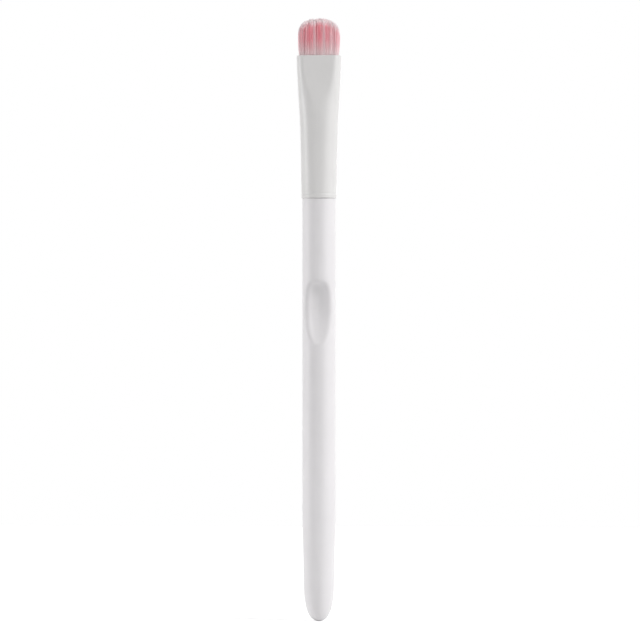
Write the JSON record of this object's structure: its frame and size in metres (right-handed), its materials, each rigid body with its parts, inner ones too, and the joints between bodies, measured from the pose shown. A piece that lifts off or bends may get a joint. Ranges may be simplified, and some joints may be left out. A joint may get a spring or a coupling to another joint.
{
  "type": "eyeshadow brush",
  "caption": "Slim cosmetics brush with a round moulded handle, a leaf-shaped thumb dimple, a ferrule pressed flat at its mouth and a domed tuft of soft bristles that bends and springs back.",
  "frame": {"origin": "on the brush axis at the lowest point of the handle's rounded butt", "axes": "+Z along the brush axis, from the butt of the handle to the bristle tips; the thumb dimple faces -Y and the wide direction of the flattened mouth and tuft is X"},
  "size_m": [0.0112, 0.0086, 0.15],
  "materials": {
    "handle_plastic": "satin white moulded plastic",
    "ferrule_paint": "satin white paint on aluminium",
    "glue": "cured clear glue",
    "resin": "cured casting resin",
    "thread": "waxed thread",
    "bristle_root": "pale ends of synthetic filament",
    "bristle": "soft pink synthetic filament"
  },
  "bodies": {
    "brush_body": {"handle": "handle_plastic", "ferrule": "ferrule_paint", "tenon_adhesive": "glue", "root_resin": "resin", "binding_thread": "thread", "tuft_roots": "bristle_root"},
    "bristle_tuft": {"tuft": "bristle"}
  },
  "joints": [
    {"name": "tuft_flex", "type": "hinge", "parent": "brush_body", "child": "bristle_tuft", "pos_m": [0, 0, 0.1409], "axis": [1, 0, 0], "range_deg": [-35, 35], "stiffness_Nm_per_rad": 0.002}
  ]
}
